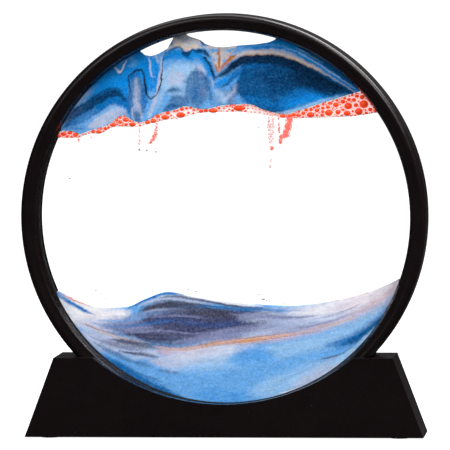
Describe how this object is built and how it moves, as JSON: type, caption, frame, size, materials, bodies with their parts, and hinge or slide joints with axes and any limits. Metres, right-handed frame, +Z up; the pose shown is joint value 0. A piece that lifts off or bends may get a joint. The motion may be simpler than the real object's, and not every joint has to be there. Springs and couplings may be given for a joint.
{
  "type": "moving sand picture hourglass",
  "caption": "Round liquid-and-sand picture between glass panes in a black frame, turning in the groove of a trapezoid stand.",
  "frame": {"origin": "centre of the bounding box at the plane of the feet", "axes": "+Z up, +X to the viewer's right, the picture faces -Y; the disc's axle line runs along Y at z 0.100"},
  "size_m": [0.185, 0.03, 0.1925],
  "materials": {
    "black_plastic": "satin black moulded ABS",
    "foot_foam": "fine-textured anti-slip pad",
    "clear_glass": "polished clear float glass",
    "black_silicone": "matte black silicone",
    "liquid": "clear water with glycerine",
    "bubbles": "wet orange-red bubble raft with pale cell walls",
    "salmon_sand": "loose fine salmon-red sand",
    "blue_sand": "fine bright blue sand with pale streaks",
    "pale_sand": "fine white and lavender sand",
    "ice_sand": "fine pale blue mottled sand",
    "grey_sand": "fine grey sand with a peach edge",
    "gold_sand": "fine copper and gold sand",
    "crown_sand": "fine bright blue sand with pale streaks",
    "navy_sand": "fine navy to bright blue sand",
    "drift_sand": "fine dark violet-grey sand with blue streaks",
    "bed_sand": "fine light blue sand, streaked"
  },
  "bodies": {
    "base": {"base_shell": "black_plastic", "foot_left_front": "foot_foam", "foot_left_rear": "foot_foam", "foot_right_front": "foot_foam", "foot_right_rear": "foot_foam"},
    "disc": {"frame_front_ring": "black_plastic", "frame_rear_ring": "black_plastic", "front_glass": "clear_glass", "rear_glass": "clear_glass", "front_bedding_bead": "black_silicone", "rear_bedding_bead": "black_silicone", "spacer_seal": "black_silicone", "fill_plug": "black_silicone", "clear_liquid": "liquid", "upper_left_pocket": "liquid", "upper_right_pocket": "liquid", "bubble_raft": "bubbles", "left_trickle": "salmon_sand", "middle_trickle": "salmon_sand", "right_trickle": "salmon_sand", "upper_blue_sand": "blue_sand", "upper_pale_sand": "pale_sand", "upper_ice_sand": "ice_sand", "upper_grey_sand": "grey_sand", "upper_gold_sand": "gold_sand", "upper_crown_sand": "crown_sand", "upper_navy_sand": "navy_sand", "lower_crest_sand": "pale_sand", "lower_drift_sand": "drift_sand", "lower_copper_sand": "gold_sand", "lower_bed_sand": "bed_sand"}
  },
  "joints": [
    {"name": "disc_turn", "type": "hinge", "parent": "base", "child": "disc", "pos_m": [0, 0, 0.1], "axis": [0, 1, 0], "continuous": true}
  ]
}
